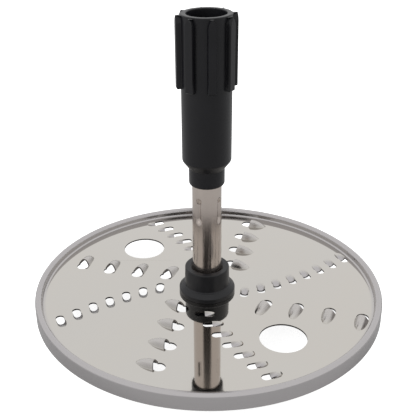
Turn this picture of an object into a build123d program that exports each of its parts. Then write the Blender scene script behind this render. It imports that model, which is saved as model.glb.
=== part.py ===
"""Reversible shredding disc of a food processor, standing on its hub with its drive stem plugged in.

One pressed steel sheet carries coarse teeth raised on one face and fine teeth raised on the other.
A plastic hub is moulded through the six-sided hole in its middle, with the same socket on both faces.
The stem is a steel tube with a plastic drive socket moulded on its far end. It stands loose in the hub.
Millimetres. Origin at the centre of the hub's foot, +Z up the stem.
"""

import os
from math import cos, hypot, pi, radians, sin

from build123d import *

# Disc: one steel sheet with a folded bead and skirt round its edge
disc_diameter = 178.0
sheet = 0.8
bead_width = 3.6
bead_edge = 1.2
rim_rise = 4.0
rim_drop = 4.4

# Finger holes to lift the disc by
finger_holes = 2
finger_hole_diameter = 22.7
finger_hole_circle = 112.0
finger_hole_angle = 130.0

# Flats that draw the arch of a tooth
arch_flats = 4

# Coarse teeth: leaf-shaped hoods raised towards the stem, four rows
coarse_rows = 4
coarse_width = 5.4
coarse_rise = 2.3
coarse_shoulder = 3.8
coarse_shoulder_width = 3.6
coarse_hood_length = 6.2
coarse_mouth_length = 5.6
coarse_mouth_nose = 1.8
coarse_pitch = 16.0
coarse_row_step = 4.0
coarse_row_angle = -12.0
coarse_row_offset = -10.0
coarse_edge_margin = 9.0
coarse_hub_margin = 7.0

# Fine teeth: scoops pressed towards the foot, four rows between the coarse ones
fine_rows = 4
fine_width = 3.8
fine_rise = 1.5
fine_tail_width = 2.4
fine_hood_length = 5.8
fine_mouth_length = 3.7
fine_mouth_nose = 1.5
fine_pitch = 9.6
fine_row_step = 2.1
fine_row_angle = 31.4
fine_row_offset = -13.2
fine_edge_margin = 8.2
fine_hub_margin = 5.0

# Hub: moulded through the sheet, the same on both faces
hub_diameter = 22.2
hub_height = 29.6
hub_flange_diameter = 27.8
hub_flange_height = 3.5
hub_web = 3.0
hub_lead_in = 1.4
hub_lead_in_angle = 120.0
hub_core_sides = 6
hub_core_width = 20.0
hub_bar_width = 3.0
hub_bar_height = 5.0

# Stem: drawn steel tube, slotted over the hub's bar and dented for the tool that holds it
stem_diameter = 14.0
stem_wall = 1.0
stem_length = 75.9
stem_fit = 0.05
slot_fit = 0.15
dents = 4
dent_width = 2.6
dent_depth = 0.9
dent_length = 14.5
dent_below_neck = 5.7
dent_angle = 56.4

# Drive socket: moulded on the tube, ribbed round its mouth
neck_diameter = 17.5
neck_length = 8.7
socket_grip = 16.0
shoulder_length = 4.2
barrel_diameter = 23.8
socket_bore = 18.6
socket_length = 82.9
ribs = 8
rib_width = 3.5
rib_reach = 2.3
rib_length = 33.3
rib_point = 3.6
rib_cheek = 1.3
rib_below_mouth = 0.4
rib_angle = -79.2

# Levels worked out from the sizes above
plate_middle = hub_height / 2
plate_top = plate_middle + sheet / 2
plate_bottom = plate_middle - sheet / 2
disc_radius = disc_diameter / 2
stem_foot = plate_middle + hub_web / 2
socket_floor = stem_foot + stem_length
socket_foot = socket_floor - socket_grip
socket_top = socket_foot + socket_length

os.makedirs("parts", exist_ok=True)


def tooth_places(rows, row_angle, row_offset, row_step, pitch, outermost, innermost, face):
    """Places of the tooth lips on a face. Each row is a line beside a spoke, stepped in from the last."""
    places = []
    for row in range(rows):
        spoke = radians(row_angle + row * 360 / rows)
        along = outermost - row * row_step
        while hypot(along, row_offset) > innermost:
            reach = Vector(
                along * cos(spoke) - row_offset * sin(spoke),
                along * sin(spoke) + row_offset * cos(spoke),
                0,
            )
            tangent = face.z_dir.cross(reach)
            places.append(Location(Plane(origin=face.origin + reach, x_dir=tangent, z_dir=face.z_dir)))
            along -= pitch
    return places


def arch_corners(width, rise):
    """Corners of a half ellipse drawn with short flats, from one foot to the other."""
    turns = [pi * corner / arch_flats for corner in range(arch_flats + 1)]
    return [(width / 2 * cos(turn), rise * sin(turn)) for turn in turns]


def leaf_form(skin):
    """Coarse hood, narrowing from an arched lip at the origin, facing +X, by a shoulder to a point."""
    lip = coarse_width + 2 * skin
    waist = coarse_shoulder_width + 2 * skin
    tail = coarse_shoulder + (coarse_hood_length - coarse_shoulder) * waist / coarse_shoulder_width
    crown = coarse_rise + sheet
    corners = [(-tail, 0, 0)]
    for across, up in arch_corners(lip, crown):
        corners.append((0, across, up))
    for across, up in arch_corners(waist, crown * waist / lip):
        corners.append((-coarse_shoulder, across, up))
    with BuildPart() as form:
        ConvexPolyhedron(corners)
    return form.part


def scoop_form(skin):
    """Fine hood, which falls from an arched lip at the origin, facing +X, to a straight tail."""
    tail = fine_tail_width / 2 + skin
    corners = [(-fine_hood_length - skin, -tail, 0), (-fine_hood_length - skin, tail, 0)]
    for across, up in arch_corners(fine_width + 2 * skin, fine_rise + sheet):
        corners.append((0, across, up))
    with BuildPart() as form:
        ConvexPolyhedron(corners)
    return form.part


def tooth_opening(hollow, width, mouth, nose):
    """Hollow pressed into a hood from the sheet's far face, and the hole before its lip."""
    front = [(mouth - nose + ahead, across) for across, ahead in arch_corners(width, nose)]
    with BuildPart() as opening:
        with Locations((0, 0, -sheet)):
            add(hollow)
        with BuildSketch(Plane.XY.offset(-sheet)):
            with BuildLine():
                Polyline(*front, (0, -width / 2), (0, width / 2), close=True)
            make_face()
        extrude(amount=sheet)
    return opening.part


# Coarse and fine teeth
coarse_hood = leaf_form(sheet)
coarse_opening = tooth_opening(leaf_form(0), coarse_width, coarse_mouth_length, coarse_mouth_nose)
fine_hood = scoop_form(sheet)
fine_opening = tooth_opening(scoop_form(0), fine_width, fine_mouth_length, fine_mouth_nose)

# Six-sided hole in the middle of the sheet, which stops the hub turning in it
with BuildSketch() as core_outline:
    RegularPolygon(hub_core_width / 2, hub_core_sides, major_radius=False)

# Shredding disc
bead_top = plate_top + rim_rise
skirt_foot = plate_top - rim_drop
wall_inside = disc_radius - bead_width
upper_face = Plane.XY.offset(plate_top)
lower_face = Plane(origin=(0, 0, plate_bottom), z_dir=(0, 0, -1))
coarse_lips = tooth_places(
    coarse_rows,
    coarse_row_angle,
    coarse_row_offset,
    coarse_row_step,
    coarse_pitch,
    disc_radius - coarse_edge_margin,
    hub_flange_diameter / 2 + coarse_hub_margin,
    upper_face,
)
fine_lips = tooth_places(
    fine_rows,
    fine_row_angle,
    fine_row_offset,
    fine_row_step,
    fine_pitch,
    disc_radius - fine_edge_margin,
    hub_flange_diameter / 2 + fine_hub_margin,
    lower_face,
)

with BuildPart() as shredding_disc:
    with BuildSketch(Plane.XZ) as rim_section:
        with BuildLine():
            Polyline(
                (0, plate_top),
                (wall_inside, plate_top),
                (wall_inside, bead_top - bead_edge),
                (wall_inside + bead_edge, bead_top),
                (disc_radius - bead_edge, bead_top),
                (disc_radius, bead_top - bead_edge),
                (disc_radius, skirt_foot),
                (disc_radius - sheet, skirt_foot),
                (disc_radius - sheet, bead_top - sheet),
                (wall_inside + sheet, bead_top - sheet),
                (wall_inside + sheet, plate_bottom),
                (0, plate_bottom),
                close=True,
            )
        make_face()
    revolve(axis=Axis.Z)
    with BuildSketch(Plane.XY.offset(plate_bottom)) as finger_grip:
        with PolarLocations(finger_hole_circle / 2, finger_holes, start_angle=finger_hole_angle):
            Circle(finger_hole_diameter / 2)
    extrude(amount=sheet, mode=Mode.SUBTRACT)
    with BuildSketch(Plane.XY.offset(plate_bottom)) as middle_hole:
        add(core_outline.sketch)
    extrude(amount=sheet, mode=Mode.SUBTRACT)
    with Locations(*coarse_lips):
        add(coarse_hood)
    with Locations(*fine_lips):
        add(fine_hood)
    with Locations(*coarse_lips):
        add(coarse_opening, mode=Mode.SUBTRACT)
    with Locations(*fine_lips):
        add(fine_opening, mode=Mode.SUBTRACT)

shredding_disc.part.label = "shredding_disc"
export_step(shredding_disc.part, "parts/shredding_disc.step")

# Hub
hub_radius = hub_diameter / 2
flange_radius = hub_flange_diameter / 2
flange_level = plate_top + hub_flange_height
socket_depth = (hub_height - hub_web) / 2
socket_radius = stem_diameter / 2 + stem_fit
lead_in_radius = socket_radius + hub_lead_in
bar_length = socket_radius + hub_radius

with BuildPart() as hub:
    with BuildSketch(Plane.XZ) as hub_section:
        with BuildLine():
            Polyline(
                (0, plate_top),
                (flange_radius, plate_top),
                (flange_radius, flange_level),
                (hub_radius, flange_level),
                (hub_radius, hub_height),
                (0, hub_height),
                close=True,
            )
        make_face()
    revolve(axis=Axis.Z)
    mirror(about=Plane.XY.offset(plate_middle))
    with BuildSketch(Plane.XY.offset(plate_bottom)) as core:
        add(core_outline.sketch)
    extrude(amount=sheet)
    with Locations((0, 0, hub_height), Location((0, 0, 0), (180, 0, 0))):
        CounterSinkHole(socket_radius, lead_in_radius, socket_depth, hub_lead_in_angle)
    with BuildSketch(Plane.XY.offset(stem_foot)) as upper_bar:
        Rectangle(bar_length, hub_bar_width)
    extrude(amount=hub_bar_height)
    with BuildSketch(Plane.XY.offset(plate_middle - hub_web / 2)) as lower_bar:
        Rectangle(bar_length, hub_bar_width)
    extrude(amount=-hub_bar_height)

hub.part.label = "hub"
export_step(hub.part, "parts/hub.step")

# Stem tube
stem_radius = stem_diameter / 2
bore_radius = stem_radius - stem_wall
dent_radius = dent_width / 2
dent_axis = stem_radius - dent_depth + dent_radius
dent_middle = socket_foot - dent_below_neck - dent_length / 2

with BuildPart() as stem_inside:
    with BuildSketch(Plane.XY.offset(stem_foot)) as stem_bore:
        Circle(bore_radius)
    extrude(amount=stem_length)
    with Locations((0, 0, dent_middle)):
        with PolarLocations(dent_axis, dents, start_angle=dent_angle):
            Cylinder(dent_radius + stem_wall, dent_length + 2 * stem_wall, mode=Mode.SUBTRACT)

with BuildPart() as stem_tube:
    with BuildSketch(Plane.XY.offset(stem_foot)) as stem_outside:
        Circle(stem_radius)
    extrude(amount=stem_length)
    add(stem_inside.part, mode=Mode.SUBTRACT)
    with Locations((0, 0, dent_middle)):
        with PolarLocations(dent_axis, dents, start_angle=dent_angle):
            Cylinder(dent_radius, dent_length, mode=Mode.SUBTRACT)
    with BuildSketch(Plane.XY.offset(stem_foot)) as foot_slot:
        Rectangle(stem_diameter, hub_bar_width + 2 * slot_fit)
    extrude(amount=hub_bar_height + slot_fit, mode=Mode.SUBTRACT)

stem_tube.part.label = "stem_tube"
export_step(stem_tube.part, "parts/stem_tube.step")

# Drive socket
neck_radius = neck_diameter / 2
barrel_radius = barrel_diameter / 2
socket_bore_radius = socket_bore / 2
grip_radius = stem_radius + stem_fit
shoulder_foot = socket_foot + neck_length
rib_top = socket_top - rib_below_mouth
rib_root = (socket_bore_radius + barrel_radius) / 2
rib_face = barrel_radius + rib_reach

with BuildPart() as rib:
    with BuildSketch(Plane.YZ.offset(rib_root)) as rib_outline:
        with BuildLine():
            Polyline(
                (0, rib_top),
                (-rib_cheek, rib_top - rib_point / 2),
                (-rib_width / 2, rib_top - rib_point),
                (-rib_width / 2, rib_top - rib_length),
                (rib_width / 2, rib_top - rib_length),
                (rib_width / 2, rib_top - rib_point),
                (rib_cheek, rib_top - rib_point / 2),
                close=True,
            )
        make_face()
    extrude(amount=rib_face - rib_root)

with BuildPart() as drive_socket:
    with BuildSketch(Plane.XZ) as socket_section:
        with BuildLine():
            Polyline(
                (grip_radius, socket_foot),
                (neck_radius, socket_foot),
                (neck_radius, shoulder_foot),
                (barrel_radius, shoulder_foot + shoulder_length),
                (barrel_radius, socket_top),
                (socket_bore_radius, socket_top),
                (socket_bore_radius, socket_floor),
                (grip_radius, socket_floor),
                close=True,
            )
        make_face()
    revolve(axis=Axis.Z)
    with PolarLocations(0, ribs, start_angle=rib_angle):
        add(rib.part)

drive_socket.part.label = "drive_socket"
export_step(drive_socket.part, "parts/drive_socket.step")
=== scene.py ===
from math import asin, cos, hypot, pi, radians, sin, sqrt, tan

import bmesh
import bpy
from mathutils import Matrix, Vector
from mathutils.geometry import tessellate_polygon


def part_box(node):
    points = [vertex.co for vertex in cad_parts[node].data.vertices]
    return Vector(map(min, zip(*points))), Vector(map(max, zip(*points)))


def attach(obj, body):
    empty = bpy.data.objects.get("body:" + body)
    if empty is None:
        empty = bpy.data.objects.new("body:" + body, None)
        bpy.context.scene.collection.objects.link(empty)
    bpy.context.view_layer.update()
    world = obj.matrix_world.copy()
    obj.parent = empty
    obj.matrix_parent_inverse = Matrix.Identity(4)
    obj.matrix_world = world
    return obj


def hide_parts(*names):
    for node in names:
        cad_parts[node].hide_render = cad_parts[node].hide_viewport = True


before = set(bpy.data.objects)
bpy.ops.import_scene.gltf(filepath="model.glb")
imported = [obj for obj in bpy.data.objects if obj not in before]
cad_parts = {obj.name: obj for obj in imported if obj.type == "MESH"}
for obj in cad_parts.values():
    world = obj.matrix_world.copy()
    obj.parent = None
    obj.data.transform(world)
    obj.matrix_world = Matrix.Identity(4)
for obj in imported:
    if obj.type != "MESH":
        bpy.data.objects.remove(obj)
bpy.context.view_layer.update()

# Shredding disc: one pressed sheet of polished stainless steel. Its edge is turned up, rolled over in a
# bead and brought down as a skirt. Coarse teeth are pressed up out of the plate and fine ones down, each
# behind its own punched mouth, and two round holes take the fingers.
mm = 0.001
sheet = 0.8 * mm
disc_low, disc_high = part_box("shredding_disc")
disc_radius = 89.0 * mm
bead_width = 3.6 * mm
bead_round = 1.79 * mm
rim_bend = 0.9 * mm
rim_height = 4.0 * mm
plate_top = disc_high.z - rim_height
plate_radius = 83.9 * mm
middle_hole_radius = 10.2 * mm
finger_hole_radius = 11.35 * mm
finger_hole_reach = 56.0 * mm
finger_hole_angles = (radians(130), radians(310))
rim_columns = 288
arc_steps = 8


def rounded_profile(corners):
    """Points of a profile through (out, up, radius) corners, with an arc of that radius at each corner."""
    points = []
    for place, (out, up, radius) in enumerate(corners):
        corner = Vector((out, up))
        if radius == 0:
            points.append(corner)
            continue
        before = (Vector(corners[place - 1][:2]) - corner).normalized()
        after = (Vector(corners[(place + 1) % len(corners)][:2]) - corner).normalized()
        half = before.angle(after) / 2
        middle = corner + (before + after).normalized() * radius / sin(half)
        spoke = corner + before * radius / tan(half) - middle
        turn = spoke.angle_signed(corner + after * radius / tan(half) - middle)
        for step in range(arc_steps + 1):
            points.append(middle + Matrix.Rotation(-turn * step / arc_steps, 2) @ spoke)
    return points


def join_rings(body, rings, closed=False):
    """Quads between each ring of vertices and the next, and from the last to the first if closed."""
    pairs = list(zip(rings, rings[1:]))
    if closed:
        pairs.append((rings[-1], rings[0]))
    for ring, following in pairs:
        for column in range(len(ring)):
            beside = (column + 1) % len(ring)
            body.faces.new((ring[column], ring[beside], following[beside], following[column]))


def lathe(body, profile, columns):
    """Rings of vertices that turn a profile of (out, up) points about the Z axis."""
    rings = []
    for out, up in profile:
        turns = [2 * pi * column / columns for column in range(columns)]
        rings.append([body.verts.new((out * cos(turn), out * sin(turn), up)) for turn in turns])
    return rings


def tooth_places(row_angle, row_offset, row_bow, row_step, pitch, outermost, innermost, turning):
    """Places of the tooth lips, with X towards the mouth: four bowed rows, each beside a spoke."""
    places = []
    for row in range(4):
        spoke = radians(row_angle + row * 90)
        along = outermost - row * row_step
        while hypot(along, row_offset) > innermost:
            bow = row_bow * (1 - (2 * (along - innermost) / (outermost - innermost) - 1) ** 2)
            reach = Matrix.Rotation(spoke, 3, "Z") @ Vector((along, row_offset + bow, 0))
            ahead = Vector((0, 0, turning)).cross(reach).normalized()
            aside = Vector((0, 0, 1)).cross(ahead)
            axes = Matrix((ahead, aside, (0, 0, 1))).transposed()
            places.append(Matrix.Translation(reach + Vector((0, 0, plate_top))) @ axes.to_4x4())
            along -= pitch
    return places


def arch_section(half_width, height, fullness, softness):
    """Points across a tooth at its lip: an arch that runs out softly into the plate on both sides."""
    steps = 28
    shares = [cos(pi * step / steps) for step in range(steps + 1)]
    return [(half_width * share, height * (1 - abs(share) ** fullness) ** softness) for share in shares]


def press_tooth(body, place, section, length, narrowing, falling, lean):
    """Adds a tooth's skin behind its lip and returns the points of its foot, round by the tail."""
    stations = 12
    highest = max(abs(up) for across, up in section)
    rows = []
    for station in range(stations):
        back = sin(pi / 2 * station / stations)
        row = []
        for across, up in section:
            leaning = lean * (1 - back) * abs(up) / highest
            point = Vector((-length * back - leaning, across * narrowing(back), up * falling(back)))
            row.append(body.verts.new(place @ point))
        rows.append(row)
    tail = [Vector((-length, across * narrowing(1.0), 0)) for across, up in section]
    end = [body.verts.new(place @ point) for point in tail]
    rows.append(end)
    for row, following in zip(rows, rows[1:]):
        for left in range(len(section) - 1):
            body.faces.new((row[left], row[left + 1], following[left + 1], following[left]))
    one_side = [row[0].co for row in rows[:-1]]
    other_side = [row[-1].co for row in reversed(rows[:-1])]
    return one_side + [vertex.co for vertex in end] + other_side


def mouth_outline(place, half_width, length, nose, heel):
    """Points of the hole before a tooth's lip, round at its nose and drawn in a little at its heel."""
    steps = 22
    widest = length - nose
    outermost_turn = pi / 2 + asin(widest / heel)
    points = []
    for step in range(steps + 1):
        turn = outermost_turn * (2 * step / steps - 1)
        reach = nose if cos(turn) > 0 else heel
        points.append(place @ Vector((widest + reach * cos(turn), half_width * sin(turn), 0)))
    return points


def circle(middle_x, middle_y, radius, points):
    """Points of a level circle at the plate's top."""
    outline = []
    for point in range(points):
        turn = 2 * pi * point / points
        outline.append(Vector((middle_x + radius * cos(turn), middle_y + radius * sin(turn), plate_top)))
    return outline


coarse_section = arch_section(half_width=3.3 * mm, height=3.1 * mm, fullness=2.4, softness=1.2)
fine_section = arch_section(half_width=2.35 * mm, height=-1.85 * mm, fullness=3.0, softness=1.3)
coarse_places = tooth_places(
    row_angle=-13.4, row_offset=-9.1 * mm, row_bow=2.0 * mm, row_step=3.9 * mm,
    pitch=16.0 * mm, outermost=79.9 * mm, innermost=20.9 * mm, turning=1,
)
fine_places = tooth_places(
    row_angle=33.0, row_offset=-13.9 * mm, row_bow=-2.6 * mm, row_step=1.8 * mm,
    pitch=9.36 * mm, outermost=80.2 * mm, innermost=19.5 * mm, turning=-1,
)

disc_body = bmesh.new()
outlines = [
    circle(0, 0, plate_radius, points=rim_columns),
    circle(0, 0, middle_hole_radius, points=48),
]
for angle in finger_hole_angles:
    hole_x, hole_y = finger_hole_reach * cos(angle), finger_hole_reach * sin(angle)
    outlines.append(circle(hole_x, hole_y, finger_hole_radius, points=96))
for place in coarse_places:
    foot = press_tooth(
        disc_body, place, coarse_section, length=9.6 * mm, lean=0.7 * mm,
        narrowing=lambda back: sqrt(1 - 0.97 * back**2.4),
        falling=lambda back: (1 - back**2.2) ** 0.9,
    )
    mouth = mouth_outline(place, half_width=3.05 * mm, length=4.9 * mm, nose=3.4 * mm, heel=2.5 * mm)
    outlines.append(foot + mouth)
for place in fine_places:
    foot = press_tooth(
        disc_body, place, fine_section, length=5.6 * mm, lean=0.3 * mm,
        narrowing=lambda back: sqrt(1 - 0.97 * back**4),
        falling=lambda back: (1 - back) ** 0.8 * (1 - back**4),
    )
    mouth = mouth_outline(place, half_width=2.1 * mm, length=4.8 * mm, nose=2.0 * mm, heel=9.0 * mm)
    outlines.append(foot + mouth)

# The flat of the plate fills what the teeth, their mouths and the holes leave.
plate_points = [disc_body.verts.new(point) for outline in outlines for point in outline]
for corners in tessellate_polygon([[point / mm for point in outline] for outline in outlines]):
    disc_body.faces.new([plate_points[corner] for corner in corners])
rim_profile = rounded_profile([
    (plate_radius, plate_top, 0),
    (disc_radius - bead_width, plate_top, rim_bend),
    (disc_radius - bead_width, disc_high.z, bead_round),
    (disc_radius, disc_high.z, bead_round),
    (disc_radius, disc_low.z, 0),
])
join_rings(disc_body, lathe(disc_body, rim_profile, rim_columns))
weld_distance = 0.001 * mm
bmesh.ops.remove_doubles(disc_body, verts=disc_body.verts, dist=weld_distance)
bmesh.ops.recalc_face_normals(disc_body, faces=disc_body.faces)
if max(disc_body.faces, key=lambda face: face.calc_area()).normal.z < 0:
    bmesh.ops.reverse_faces(disc_body, faces=disc_body.faces)
disc_body.normal_update()

# The far face lies the sheet's thickness below, and the cut edges join the two.
cut_edges = [edge for edge in disc_body.edges if edge.is_boundary]
top_faces = list(disc_body.faces)
lower_side = {}
mitre_limit = 1.3
for vertex in list(disc_body.verts):
    depth = sheet * min(vertex.calc_shell_factor(), mitre_limit)
    lower_side[vertex] = disc_body.verts.new(vertex.co - vertex.normal * depth)
for face in top_faces:
    disc_body.faces.new([lower_side[vertex] for vertex in reversed(face.verts)])
for edge in cut_edges:
    one, other = edge.verts
    disc_body.faces.new((one, other, lower_side[other], lower_side[one]))
bmesh.ops.recalc_face_normals(disc_body, faces=disc_body.faces)


def finished_piece(name, body, material):
    """A piece of the object from a finished body, smooth but for its edges and where a flat face ends."""
    flat = 0.99999
    crease = radians(35)
    body.normal_update()
    for face in body.faces:
        face.smooth = True
    for edge in body.edges:
        if len(edge.link_faces) == 2:
            one, other = (face.normal for face in edge.link_faces)
            alike = (abs(one.z) > flat) == (abs(other.z) > flat)
            edge.smooth = alike and one.angle(other, 0) < crease
    mesh = bpy.data.meshes.new(name)
    body.to_mesh(mesh)
    body.free()
    mesh.materials.append(material)
    piece = bpy.data.objects.new(name, mesh)
    bpy.context.collection.objects.link(piece)
    return piece


def add_node(material, kind, inputs=(), **settings):
    """A node of a material, with its own settings and plain input values."""
    node = material.node_tree.nodes.new(kind)
    for setting, value in settings.items():
        setattr(node, setting, value)
    for socket, value in dict(inputs).items():
        node.inputs[socket].default_value = value
    return node


def steel(name, colour, warm_colour, roughness, grain, grain_depth, sway_depth):
    """Polished stainless steel: a fine grain, a slight unevenness of the sheet and a faint warm cast."""
    material = bpy.data.materials.new(name)
    material.use_nodes = True
    link = material.node_tree.links.new
    shader = material.node_tree.nodes["Principled BSDF"]
    shader.inputs["Metallic"].default_value = 1.0
    place = add_node(material, "ShaderNodeTexCoord")
    stretch = add_node(material, "ShaderNodeMapping", {"Scale": grain})
    lines = add_node(material, "ShaderNodeTexNoise", {"Scale": 1.0, "Detail": 4.0, "Roughness": 0.6})
    cast = add_node(material, "ShaderNodeTexNoise", {"Scale": 22.0, "Detail": 3.0})
    tint = add_node(material, "ShaderNodeMix", data_type="RGBA")
    tint.inputs["A"].default_value = colour
    tint.inputs["B"].default_value = warm_colour
    polish = add_node(material, "ShaderNodeMapRange", {"To Min": roughness[0], "To Max": roughness[1]})
    sway = add_node(material, "ShaderNodeTexNoise", {"Scale": 45.0, "Detail": 1.0})
    uneven = add_node(material, "ShaderNodeBump", {"Strength": 1.0, "Distance": sway_depth})
    bump = add_node(material, "ShaderNodeBump", {"Strength": 1.0, "Distance": grain_depth})
    link(place.outputs["Object"], stretch.inputs["Vector"])
    link(stretch.outputs["Vector"], lines.inputs["Vector"])
    link(place.outputs["Object"], cast.inputs["Vector"])
    link(place.outputs["Object"], sway.inputs["Vector"])
    link(cast.outputs["Fac"], tint.inputs["Factor"])
    link(tint.outputs["Result"], shader.inputs["Base Color"])
    link(lines.outputs["Fac"], polish.inputs["Value"])
    link(polish.outputs["Result"], shader.inputs["Roughness"])
    link(sway.outputs["Fac"], uneven.inputs["Height"])
    link(lines.outputs["Fac"], bump.inputs["Height"])
    link(uneven.outputs["Normal"], bump.inputs["Normal"])
    link(bump.outputs["Normal"], shader.inputs["Normal"])
    return material


disc_steel = steel(
    "disc_steel", colour=(0.56, 0.545, 0.52, 1), warm_colour=(0.57, 0.54, 0.50, 1), roughness=(0.02, 0.07),
    grain=(60, 2500, 60), grain_depth=0.0002 * mm, sway_depth=0.002 * mm,
)

# Rim, hoods and bends are satin. Painted shade: rim and troughs greyer, hoods half so, steep faces inside
# the rim darker.
greyer_painted_shade = (0.46, 0.442, 0.445, 1)
steep_painted_shade = (0.17, 0.155, 0.145, 1)
satin_roughness = 0.3
rim_gloss = -0.13
hood_grey_shade = 0.5
disc_link = disc_steel.node_tree.links.new
disc_shader = disc_steel.node_tree.nodes["Principled BSDF"]
plain_colour = disc_shader.inputs["Base Color"].links[0].from_socket
plain_polish = disc_shader.inputs["Roughness"].links[0].from_socket
disc_place = add_node(disc_steel, "ShaderNodeTexCoord")
disc_level = add_node(disc_steel, "ShaderNodeVectorMath", {1: (1, 1, 0)}, operation="MULTIPLY")
disc_reach = add_node(disc_steel, "ShaderNodeVectorMath", operation="LENGTH")
rim_share = add_node(disc_steel, "ShaderNodeMapRange", {"From Min": 83.5 * mm, "From Max": 85.5 * mm})
disc_facing = add_node(disc_steel, "ShaderNodeNewGeometry")
place_parts = add_node(disc_steel, "ShaderNodeSeparateXYZ")
facing_parts = add_node(disc_steel, "ShaderNodeSeparateXYZ")
bent_share = add_node(disc_steel, "ShaderNodeMapRange", {
    "From Min": 0.998, "From Max": 0.9, "To Max": 0.7,
})
matt_share = add_node(disc_steel, "ShaderNodeMath", operation="MAXIMUM")
level_share = add_node(disc_steel, "ShaderNodeMath", operation="ABSOLUTE")
hood_share = add_node(disc_steel, "ShaderNodeMapRange", {
    "From Min": plate_top + 0.1 * mm, "From Max": plate_top + 1.6 * mm,
})
trough_share = add_node(disc_steel, "ShaderNodeMapRange", {
    "From Min": plate_top - 0.15 * mm, "From Max": plate_top - 1.0 * mm,
})
satin_share = add_node(disc_steel, "ShaderNodeMath", operation="MAXIMUM")
grey_share = add_node(disc_steel, "ShaderNodeMath", operation="MAXIMUM")
grey_shade_share = add_node(
    disc_steel, "ShaderNodeMath", {1: hood_grey_shade}, operation="MULTIPLY_ADD", use_clamp=True,
)
satin_polish = add_node(disc_steel, "ShaderNodeMath", {1: satin_roughness}, operation="MULTIPLY_ADD")
rim_polish = add_node(disc_steel, "ShaderNodeMath", {1: rim_gloss}, operation="MULTIPLY_ADD")
# Painted shade: the plain colour is mixed towards the greyer tone on rim and troughs, and half as much on
# hoods.
painted_grey_colour = add_node(disc_steel, "ShaderNodeMix", {"B": greyer_painted_shade}, data_type="RGBA")
# Painted shade: steep faces away from the rim, cut edges among them, are mixed towards a dark grey.
steep_shade_share = add_node(disc_steel, "ShaderNodeMapRange", {"From Min": 0.8, "From Max": 0.1})
painted_dark_share = add_node(disc_steel, "ShaderNodeMath", operation="SUBTRACT", use_clamp=True)
painted_dark_colour = add_node(disc_steel, "ShaderNodeMix", {"B": steep_painted_shade}, data_type="RGBA")
for output, entry in (
    (disc_place.outputs["Object"], disc_level.inputs[0]),
    (disc_level.outputs["Vector"], disc_reach.inputs[0]),
    (disc_reach.outputs["Value"], rim_share.inputs["Value"]),
    (disc_place.outputs["Object"], place_parts.inputs["Vector"]),
    (place_parts.outputs["Z"], hood_share.inputs["Value"]),
    (rim_share.outputs["Result"], satin_share.inputs[0]),
    (hood_share.outputs["Result"], satin_share.inputs[1]),
    (disc_facing.outputs["Normal"], facing_parts.inputs["Vector"]),
    (facing_parts.outputs["Z"], bent_share.inputs["Value"]),
    (bent_share.outputs["Result"], matt_share.inputs[0]),
    (satin_share.outputs["Value"], matt_share.inputs[1]),
    (matt_share.outputs["Value"], satin_polish.inputs[0]),
    (plain_polish, satin_polish.inputs[2]),
    (rim_share.outputs["Result"], rim_polish.inputs[0]),
    (satin_polish.outputs["Value"], rim_polish.inputs[2]),
    (rim_polish.outputs["Value"], disc_shader.inputs["Roughness"]),
    (place_parts.outputs["Z"], trough_share.inputs["Value"]),
    (rim_share.outputs["Result"], grey_share.inputs[0]),
    (trough_share.outputs["Result"], grey_share.inputs[1]),
    (hood_share.outputs["Result"], grey_shade_share.inputs[0]),
    (grey_share.outputs["Value"], grey_shade_share.inputs[2]),
    (grey_shade_share.outputs["Value"], painted_grey_colour.inputs["Factor"]),
    (plain_colour, painted_grey_colour.inputs["A"]),
    (facing_parts.outputs["Z"], level_share.inputs[0]),
    (level_share.outputs["Value"], steep_shade_share.inputs["Value"]),
    (steep_shade_share.outputs["Result"], painted_dark_share.inputs[0]),
    (rim_share.outputs["Result"], painted_dark_share.inputs[1]),
    (painted_dark_share.outputs["Value"], painted_dark_colour.inputs["Factor"]),
    (painted_grey_colour.outputs["Result"], painted_dark_colour.inputs["A"]),
    (painted_dark_colour.outputs["Result"], disc_shader.inputs["Base Color"]),
):
    disc_link(output, entry)
disc = finished_piece("shredding_disc_steel", disc_body, disc_steel)
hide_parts("shredding_disc")
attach(disc, "root")

# Hub: black plastic moulded through the sheet, the same on both faces. A sloped flange lies on the plate,
# and the round boss above it is the stem's socket, with a driving bar across its floor.
hub_low, hub_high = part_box("hub")
hub_middle = (hub_low.z + hub_high.z) / 2
boss_height = hub_high.z - hub_middle
boss_radius = 11.3 * mm
boss_foot_radius, boss_foot = 11.5 * mm, 5.0 * mm
flange_crown_radius, flange_crown = 12.4 * mm, 4.6 * mm
flange_radius, flange_edge = 14.4 * mm, 2.7 * mm
through_radius = 9.9 * mm
mouth_radius, mouth_bevel = 8.6 * mm, 0.9 * mm
socket_radius = 7.35 * mm
web_half = 1.5 * mm
web_core = 2.0 * mm
bar_length, bar_width, bar_height = 18.15 * mm, 3.0 * mm, 5.0 * mm
hub_columns = 128
half_hub = [
    (web_core, web_half, 0.0),
    (socket_radius, web_half, 0.3 * mm),
    (socket_radius, boss_height - mouth_bevel, 0.0),
    (mouth_radius, boss_height, 0.25 * mm),
    (boss_radius, boss_height, 0.5 * mm),
    (boss_foot_radius, boss_foot, 0.4 * mm),
    (flange_crown_radius, flange_crown, 0.4 * mm),
    (flange_radius, flange_edge, 0.6 * mm),
    (flange_radius, sheet / 2, 0.2 * mm),
    (through_radius, sheet / 2, 0.0),
]
hub_corners = [(out, hub_middle + up, radius) for out, up, radius in half_hub]
hub_corners += [(out, hub_middle - up, radius) for out, up, radius in reversed(half_hub)]
hub_body = bmesh.new()
hub_rings = lathe(hub_body, rounded_profile(hub_corners), hub_columns)
join_rings(hub_body, hub_rings)
hub_body.faces.new(hub_rings[0])
hub_body.faces.new(hub_rings[-1])
for side in (1, -1):
    bar_middle = Vector((0, 0, hub_middle + side * (web_half + bar_height / 2)))
    bar_shape = Matrix.Translation(bar_middle) @ Matrix.Diagonal((bar_length, bar_width, bar_height, 1))
    bmesh.ops.create_cube(hub_body, size=1.0, matrix=bar_shape)
bmesh.ops.recalc_face_normals(hub_body, faces=hub_body.faces)


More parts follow.
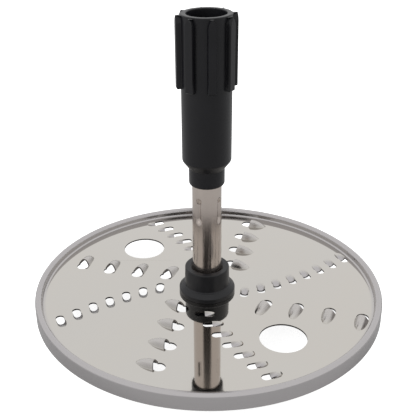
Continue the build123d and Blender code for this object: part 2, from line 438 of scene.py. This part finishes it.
def black_plastic(name, colour, worn_colour, roughness):
    """Black moulded plastic with a fine grain from the mould and a slightly uneven gloss."""
    material = bpy.data.materials.new(name)
    material.use_nodes = True
    link = material.node_tree.links.new
    shader = material.node_tree.nodes["Principled BSDF"]
    shader.inputs["Specular IOR Level"].default_value = 0.29
    place = add_node(material, "ShaderNodeTexCoord")
    wear = add_node(material, "ShaderNodeTexNoise", {"Scale": 90.0, "Detail": 4.0, "Roughness": 0.6})
    grain = add_node(material, "ShaderNodeTexNoise", {"Scale": 3500.0, "Detail": 2.0})
    tint = add_node(material, "ShaderNodeMix", data_type="RGBA")
    tint.inputs["A"].default_value = colour
    tint.inputs["B"].default_value = worn_colour
    gloss = add_node(material, "ShaderNodeMapRange", {"To Min": roughness[0], "To Max": roughness[1]})
    bump = add_node(material, "ShaderNodeBump", {"Strength": 0.5, "Distance": 0.02 * mm})
    link(place.outputs["Object"], wear.inputs["Vector"])
    link(place.outputs["Object"], grain.inputs["Vector"])
    link(wear.outputs["Fac"], tint.inputs["Factor"])
    link(tint.outputs["Result"], shader.inputs["Base Color"])
    link(wear.outputs["Fac"], gloss.inputs["Value"])
    link(gloss.outputs["Result"], shader.inputs["Roughness"])
    link(grain.outputs["Fac"], bump.inputs["Height"])
    link(bump.outputs["Normal"], shader.inputs["Normal"])
    return material


hub_plastic = black_plastic(
    "hub_plastic", colour=(0.009, 0.009, 0.010, 1), worn_colour=(0.015, 0.015, 0.017, 1),
    roughness=(0.28, 0.4),
)
hub = finished_piece("hub_plastic", hub_body, hub_plastic)
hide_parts("hub")
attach(hub, "root")

# Stem tube: drawn stainless tube that plugs into the hub. Four long dents are pressed into it below the
# socket, and its foot is slotted to go over the hub's driving bar.
stem_low, stem_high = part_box("stem_tube")
stem_radius = 7.3 * mm
stem_wall = 1.0 * mm
dent_low, dent_high = 56.0 * mm, 70.5 * mm
dent_depth = 0.8 * mm
dent_reach = 1.9 * mm
dent_slope = 3.2 * mm
dent_angles = [radians(56.4 + 90 * dent) for dent in range(4)]
dent_steps = 28
dent_margin = 1.0 * mm
slot_reach, slot_width, slot_depth = 10.0 * mm, 3.3 * mm, 5.15 * mm
stem_columns = 192


def ease(share):
    """A smooth step from 0 to 1 over shares 0 to 1."""
    share = min(max(share, 0.0), 1.0)
    return share * share * (3 - 2 * share)


def dented(radius, turn, level):
    """The tube's radius at an angle and a height, less the dent there."""
    ends = ease((level - dent_low) / dent_slope) * ease((dent_high - level) / dent_slope)
    press = 0.0
    for angle in dent_angles:
        apart = (turn - angle + pi) % (2 * pi) - pi
        press += dent_depth * ends * (1 - ease(abs(apart) * stem_radius / dent_reach))
    return radius - press


stem_levels = [stem_low.z, dent_low - dent_margin]
stem_levels += [dent_low + (dent_high - dent_low) * step / dent_steps for step in range(dent_steps + 1)]
stem_levels += [dent_high + dent_margin, stem_high.z]
stem_body = bmesh.new()
stem_rings = []
for radius, levels in ((stem_radius, stem_levels), (stem_radius - stem_wall, reversed(stem_levels))):
    for level in levels:
        ring = []
        for column in range(stem_columns):
            turn = 2 * pi * column / stem_columns
            reach = dented(radius, turn, level)
            ring.append(stem_body.verts.new((reach * cos(turn), reach * sin(turn), level)))
        stem_rings.append(ring)
join_rings(stem_body, stem_rings, closed=True)
bmesh.ops.recalc_face_normals(stem_body, faces=stem_body.faces)

# The slot is cut across the foot by a block that stands half above it and half below.
slot_cutter = bpy.data.objects.new("slot_cutter", bpy.data.meshes.new("slot_cutter"))
bpy.context.collection.objects.link(slot_cutter)
cutter_body = bmesh.new()
slot_middle = Matrix.Translation((0, 0, stem_low.z))
slot_block = Matrix.Diagonal((2 * slot_reach, slot_width, 2 * slot_depth, 1))
bmesh.ops.create_cube(cutter_body, size=1.0, matrix=slot_middle @ slot_block)
cutter_body.to_mesh(slot_cutter.data)
cutter_body.free()
uncut_stem = bpy.data.objects.new("uncut_stem", bpy.data.meshes.new("uncut_stem"))
bpy.context.collection.objects.link(uncut_stem)
stem_body.to_mesh(uncut_stem.data)
cutting = uncut_stem.modifiers.new("foot_slot", "BOOLEAN")
cutting.object = slot_cutter
cutting.solver = "EXACT"
bpy.context.view_layer.update()
cut_stem = uncut_stem.evaluated_get(bpy.context.evaluated_depsgraph_get())
stem_body.clear()
stem_body.from_mesh(cut_stem.to_mesh())
bpy.data.objects.remove(uncut_stem)
bpy.data.objects.remove(slot_cutter)
tube_steel = steel(
    "tube_steel", colour=(0.52, 0.465, 0.43, 1), warm_colour=(0.56, 0.49, 0.44, 1), roughness=(0.14, 0.24),
    grain=(900, 900, 30), grain_depth=0.0006 * mm, sway_depth=0.004 * mm,
)
stem = finished_piece("stem_tube_steel", stem_body, tube_steel)
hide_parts("stem_tube")
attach(stem, "root")

# Drive socket: black plastic moulded on the tube's far end. A narrow neck opens by a shoulder into a deep
# barrel that takes the machine's shaft, and eight ribs with pointed tops grip under its mouth.
socket_low, socket_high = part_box("drive_socket")
tube_hole = 7.35 * mm
neck_radius = 8.75 * mm
shoulder_foot, shoulder_top = 84.9 * mm, 89.1 * mm
barrel_radius = 11.9 * mm
bore_radius = 9.3 * mm
socket_floor = stem_high.z
rib_low, rib_high = 125.4 * mm, 158.7 * mm
rib_face = 14.2 * mm
rib_half = 1.75 * mm
rib_point = 3.6 * mm
rib_bevel = 0.35 * mm
rib_foot = 0.05 * mm
rib_count = 8
rib_spacing = 360 / rib_count
rib_angles = [radians(-79.2 + rib_spacing * rib) for rib in range(rib_count)]
gap_columns = 9

# A rib's section has shares of its half width across and of its standing out.
rib_section = [(-1.15, 0.0), (-1.02, 0.25), (-1.0, 0.8), (-0.86, 1.0), (-0.4, 1.0)]
rib_section += [(0.0, 1.0)] + [(-across, out) for across, out in reversed(rib_section)]


def socket_ring(body, level, radius, half_width, standing):
    """A ring of the barrel with its ribs, half_width wide to each side and standing out by a share."""
    ring = []
    for angle in rib_angles:
        edge = rib_section[-1][0] * half_width / barrel_radius
        for across, out in rib_section:
            turn = across * half_width / barrel_radius
            reach = radius + (rib_face / cos(turn) - radius) * out * standing
            ring.append((angle + turn, reach))
        spare = radians(rib_spacing) - 2 * edge
        for column in range(1, gap_columns + 1):
            ring.append((angle + edge + spare * column / (gap_columns + 1), radius))
    return [body.verts.new((reach * cos(turn), reach * sin(turn), level)) for turn, reach in ring]


socket_profile = rounded_profile([
    (tube_hole, socket_floor, 0.0),
    (tube_hole, socket_low.z, 0.25 * mm),
    (neck_radius, socket_low.z, 1.3 * mm),
    (neck_radius, shoulder_foot, 0.8 * mm),
    (barrel_radius, shoulder_top, 2.0 * mm),
    (barrel_radius, socket_high.z, 0.6 * mm),
    (bore_radius, socket_high.z, 0.5 * mm),
    (bore_radius, socket_floor, 0.0),
])

# Each level of the ribs has a share of their width and a share of their standing out.
rib_levels = [
    (rib_low - rib_foot, 1.0, 0.0),
    (rib_low, 1.0, 0.85),
    (rib_low + rib_bevel, 1.0, 1.0),
    (rib_high - rib_point, 1.0, 1.0),
]
for share in (0.15, 0.3, 0.45, 0.6, 0.72, 0.82, 0.9, 0.96, 1.0):
    narrow = max(1 - share**1.7, 0.02)
    rib_levels.append((rib_high - rib_point * (1 - share), narrow, 1 - 0.06 * share**4))
socket_body = bmesh.new()
socket_rings = []
for out, up in socket_profile:
    if rib_levels and up > rib_levels[0][0]:
        for level, narrow, standing in rib_levels:
            ring = socket_ring(socket_body, level, barrel_radius, rib_half * narrow, standing)
            socket_rings.append(ring)
        rib_levels = []
    socket_rings.append(socket_ring(socket_body, up, out, rib_half, 0.0))
join_rings(socket_body, socket_rings, closed=True)
bmesh.ops.recalc_face_normals(socket_body, faces=socket_body.faces)
socket_plastic = black_plastic(
    "socket_plastic", colour=(0.003, 0.003, 0.004, 1), worn_colour=(0.007, 0.007, 0.009, 1),
    roughness=(0.28, 0.4),
)
socket = finished_piece("drive_socket_plastic", socket_body, socket_plastic)
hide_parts("drive_socket")
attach(socket, "root")

# Studio floor: a pale painted board that the object stands on. The eye sees it as white, a little darker
# where the object shades it, and the steel mirrors it as a duller board.
floor_half = 3.0
floor_mesh = bpy.data.meshes.new("studio_floor")
floor_mesh.from_pydata([
    (-floor_half, -floor_half, 0),
    (floor_half, -floor_half, 0),
    (floor_half, floor_half, 0),
    (-floor_half, floor_half, 0),
], [], [(0, 1, 2, 3)])
floor = bpy.data.objects.new("studio_floor", floor_mesh)
bpy.context.collection.objects.link(floor)
floor_paint = bpy.data.materials.new("floor_paint")
floor_paint.use_nodes = True
floor_nodes = floor_paint.node_tree.nodes
floor_link = floor_paint.node_tree.links.new
floor_nodes.remove(floor_nodes["Principled BSDF"])
floor_matt = add_node(floor_paint, "ShaderNodeBsdfDiffuse", {"Color": (0.75, 0.75, 0.75, 1)})
floor_dull = add_node(floor_paint, "ShaderNodeBsdfDiffuse", {"Color": (0.62, 0.62, 0.62, 1)})
floor_white = add_node(floor_paint, "ShaderNodeEmission", {"Color": (1, 1, 1, 1), "Strength": 0.88})
floor_bright = add_node(floor_paint, "ShaderNodeAddShader")
floor_unseen = add_node(floor_paint, "ShaderNodeMixShader")
floor_mix = add_node(floor_paint, "ShaderNodeMixShader")
floor_path = add_node(floor_paint, "ShaderNodeLightPath")
floor_steel = add_node(floor_paint, "ShaderNodeMath", operation="MAXIMUM")
floor_link(floor_path.outputs["Is Glossy Ray"], floor_steel.inputs[0])
floor_link(floor_path.outputs["Is Transmission Ray"], floor_steel.inputs[1])
floor_link(floor_steel.outputs["Value"], floor_unseen.inputs["Fac"])
floor_link(floor_matt.outputs["BSDF"], floor_unseen.inputs[1])
floor_link(floor_dull.outputs["BSDF"], floor_unseen.inputs[2])
floor_link(floor_matt.outputs["BSDF"], floor_bright.inputs[0])
floor_link(floor_white.outputs["Emission"], floor_bright.inputs[1])
floor_link(floor_path.outputs["Is Camera Ray"], floor_mix.inputs["Fac"])
floor_link(floor_unseen.outputs["Shader"], floor_mix.inputs[1])
floor_link(floor_bright.outputs["Shader"], floor_mix.inputs[2])
floor_link(floor_mix.outputs["Shader"], floor_nodes["Material Output"].inputs["Surface"])
floor_mesh.materials.append(floor_paint)

# Dark screen: a matt black cloth that hangs behind the camera. It shows only where the steel mirrors the
# steel, as the dark line down the tube and inside the rim, and not as a black plate from behind.
screen_half = 0.68
screen_place = -1.0
screen_foot, screen_head = 0.24, 1.0
one_mirror = 1.5
screen_mesh = bpy.data.meshes.new("dark_screen")
screen_mesh.from_pydata([
    (-screen_half, screen_place, screen_foot),
    (screen_half, screen_place, screen_foot),
    (screen_half, screen_place, screen_head),
    (-screen_half, screen_place, screen_head),
], [], [(0, 1, 2, 3)])
screen = bpy.data.objects.new("dark_screen", screen_mesh)
bpy.context.collection.objects.link(screen)
screen_cloth = bpy.data.materials.new("screen_cloth")
screen_cloth.use_nodes = True
screen_nodes = screen_cloth.node_tree.nodes
screen_link = screen_cloth.node_tree.links.new
screen_nodes.remove(screen_nodes["Principled BSDF"])
screen_clear = add_node(screen_cloth, "ShaderNodeBsdfTransparent")
screen_matt = add_node(screen_cloth, "ShaderNodeBsdfDiffuse", {"Color": (0.03, 0.03, 0.03, 1)})
screen_path = add_node(screen_cloth, "ShaderNodeLightPath")
screen_second = add_node(screen_cloth, "ShaderNodeMath", {1: one_mirror}, operation="GREATER_THAN")
screen_mix = add_node(screen_cloth, "ShaderNodeMixShader")
screen_link(screen_path.outputs["Ray Depth"], screen_second.inputs[0])
screen_link(screen_second.outputs["Value"], screen_mix.inputs["Fac"])
screen_link(screen_clear.outputs["BSDF"], screen_mix.inputs[1])
screen_link(screen_matt.outputs["BSDF"], screen_mix.inputs[2])
screen_link(screen_mix.outputs["Shader"], screen_nodes["Material Output"].inputs["Surface"])
screen_mesh.materials.append(screen_cloth)
screen.visible_camera = False
screen.visible_diffuse = False
screen.visible_shadow = False

# Light: a white room that the eye and the steel see at full strength, a softer fill for everything else,
# and two soft lamps from the left and the right.
lamp_aim = Vector((0, 0, 0.07))
room = bpy.data.worlds.new("white_room")
bpy.context.scene.world = room
room.use_nodes = True
room_link = room.node_tree.links.new
room_nodes = room.node_tree.nodes
room_path = add_node(room, "ShaderNodeLightPath")
room_seen = add_node(room, "ShaderNodeMath", operation="MAXIMUM")
room_glass = add_node(room, "ShaderNodeMath", operation="MAXIMUM")
room_fill = add_node(room, "ShaderNodeBackground", {"Color": (1, 1, 1, 1), "Strength": 0.6})
room_white = add_node(room, "ShaderNodeBackground", {"Color": (1, 1, 1, 1), "Strength": 1.0})
room_mix = add_node(room, "ShaderNodeMixShader")
room_link(room_path.outputs["Is Camera Ray"], room_seen.inputs[0])
room_link(room_path.outputs["Is Glossy Ray"], room_seen.inputs[1])
room_link(room_seen.outputs["Value"], room_glass.inputs[0])
room_link(room_path.outputs["Is Transmission Ray"], room_glass.inputs[1])
room_link(room_glass.outputs["Value"], room_mix.inputs["Fac"])
room_link(room_fill.outputs["Background"], room_mix.inputs[1])
room_link(room_white.outputs["Background"], room_mix.inputs[2])
room_link(room_mix.outputs["Shader"], room_nodes["World Output"].inputs["Surface"])
for name, spot, size, energy in (
    ("left_softbox", Vector((-0.75, -0.35, 0.65)), 0.5, 5.0),
    ("right_softbox", Vector((0.8, 0.1, 0.5)), 0.4, 3.0),
):
    lamp = bpy.data.lights.new(name, "AREA")
    lamp.energy = energy
    lamp.size = size
    lamp_holder = bpy.data.objects.new(name, lamp)
    lamp_holder.location = spot
    lamp_holder.visible_glossy = False
    lamp_holder.rotation_euler = (spot - lamp_aim).to_track_quat("Z", "Y").to_euler()
    bpy.context.collection.objects.link(lamp_holder)
bpy.context.scene.view_settings.view_transform = "Standard"

# Camera: the eye stands in front of the disc and above it, and looks down at the plate, with the socket at
# the top of the frame.
eye_distance, eye_height = 344.6 * mm, 220.45 * mm
eye_turn, eye_dip, eye_roll = 2.56, 26.74, -1.28
eye = bpy.data.cameras.new("eye")
eye.lens = 67.1
eye.shift_x = 0.077
eye.shift_y = 0.0034
eye_holder = bpy.data.objects.new("eye", eye)
bpy.context.collection.objects.link(eye_holder)
eye_holder.matrix_world = (
    Matrix.Translation((0, -eye_distance, plate_top + eye_height))
    @ Matrix.Rotation(radians(eye_turn), 4, "Z")
    @ Matrix.Rotation(radians(90 - eye_dip), 4, "X")
    @ Matrix.Rotation(radians(eye_roll), 4, "Z")
)
bpy.context.scene.camera = eye_holder
